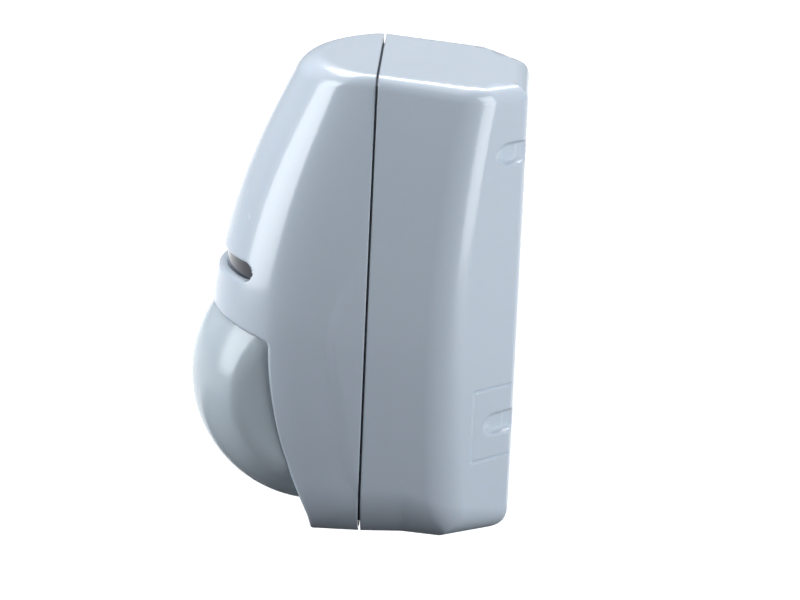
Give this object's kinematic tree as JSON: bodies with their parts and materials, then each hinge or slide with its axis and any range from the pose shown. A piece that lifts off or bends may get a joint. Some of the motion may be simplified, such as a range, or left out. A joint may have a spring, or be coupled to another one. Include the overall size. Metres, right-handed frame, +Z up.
{
  "type": "motion sensor",
  "caption": "Wall or corner mounted infrared motion detector with a chamfered rear base, hinged front cover and domed lens.",
  "frame": {"origin": "centre of the flat back face, on the wall", "axes": "+X across the detector, +Y into the wall, +Z up; the lens looks along -Y"},
  "size_m": [0.06, 0.0812, 0.12],
  "materials": {
    "white_abs": "glossy moulded ABS, cool white",
    "lens_pe": "translucent satin polyethylene",
    "frame_plastic": "satin moulded plastic",
    "smoked_window": "polished dark smoked acrylic",
    "clear_plastic": "clear polished acrylic",
    "circuit_board": "green solder mask with tinned pads",
    "screw_steel": "zinc-plated steel",
    "black_plastic": "black moulded nylon",
    "can_metal": "nickel-plated steel can",
    "dark_silicon": "polished silicon filter",
    "green_plastic": "green moulded nylon",
    "contact_metal": "nickel-plated brass",
    "relay_plastic": "off-white moulded case",
    "capacitor_can": "dark sleeve over an aluminium can",
    "chip_plastic": "black moulded epoxy",
    "led_plastic": "red tinted epoxy",
    "spring_steel": "spring wire",
    "white_button": "white moulded nylon",
    "trimmer_blue": "blue moulded case",
    "switch_red": "red moulded case"
  },
  "bodies": {
    "base": {"rear_base": "white_abs", "cover_catch": "frame_plastic", "main_board": "circuit_board", "board_screws": "screw_steel", "pyro_holder": "black_plastic", "pyro_sensor": "can_metal", "pyro_filter": "dark_silicon", "terminal_block": "green_plastic", "terminal_screws": "screw_steel", "terminal_cages": "contact_metal", "relay": "relay_plastic", "capacitors": "capacitor_can", "microcontroller": "chip_plastic", "amplifier": "chip_plastic", "regulator": "chip_plastic", "resistors": "chip_plastic", "status_led": "led_plastic", "tamper_switch": "black_plastic", "tamper_spring": "spring_steel", "trimmer_body": "trimmer_blue", "switch_block": "switch_red"},
    "cover": {"front_cover": "white_abs", "fresnel_lens": "lens_pe", "lens_frame": "frame_plastic", "indicator_window": "smoked_window", "light_guide": "clear_plastic"},
    "screw": {"cover_screw": "screw_steel"},
    "nut": {"screw_nut": "contact_metal"},
    "plunger": {"tamper_plunger": "white_button"},
    "rotor": {"trimmer_rotor": "white_button"},
    "slider_a": {"slider_1": "white_button"},
    "slider_b": {"slider_2": "white_button"},
    "slider_c": {"slider_3": "white_button"}
  },
  "joints": [
    {"name": "cover_open", "type": "hinge", "parent": "base", "child": "cover", "pos_m": [0, -0.0368, 0.06], "axis": [-1, 0, 0], "range_deg": [0, 45]},
    {"name": "screw_turn", "type": "hinge", "parent": "cover", "child": "screw", "pos_m": [0, -0.0423, -0.058], "axis": [0, 0, -1], "range_deg": [0, 1080]},
    {"name": "nut_rise", "type": "slide", "parent": "cover", "child": "nut", "axis": [0, 0, 1], "range_m": [0, 0.00135]},
    {"name": "tamper_release", "type": "slide", "parent": "base", "child": "plunger", "axis": [0, -1, 0], "range_m": [0, 0.0015]},
    {"name": "range_trim", "type": "hinge", "parent": "base", "child": "rotor", "pos_m": [-0.016, -0.037, -0.019], "axis": [0, -1, 0], "range_deg": [-135, 135]},
    {"name": "option_1", "type": "slide", "parent": "base", "child": "slider_a", "axis": [0, 0, 1], "range_m": [0, 0.0012]},
    {"name": "option_2", "type": "slide", "parent": "base", "child": "slider_b", "axis": [0, 0, 1], "range_m": [0, 0.0012]},
    {"name": "option_3", "type": "slide", "parent": "base", "child": "slider_c", "axis": [0, 0, 1], "range_m": [0, 0.0012]}
  ],
  "couplings": [
    {"joint": "tamper_release", "follows": "cover_open", "m_per_rad": 0.0019098},
    {"joint": "screw_turn", "follows": "nut_rise", "rad_per_m": 13962}
  ]
}
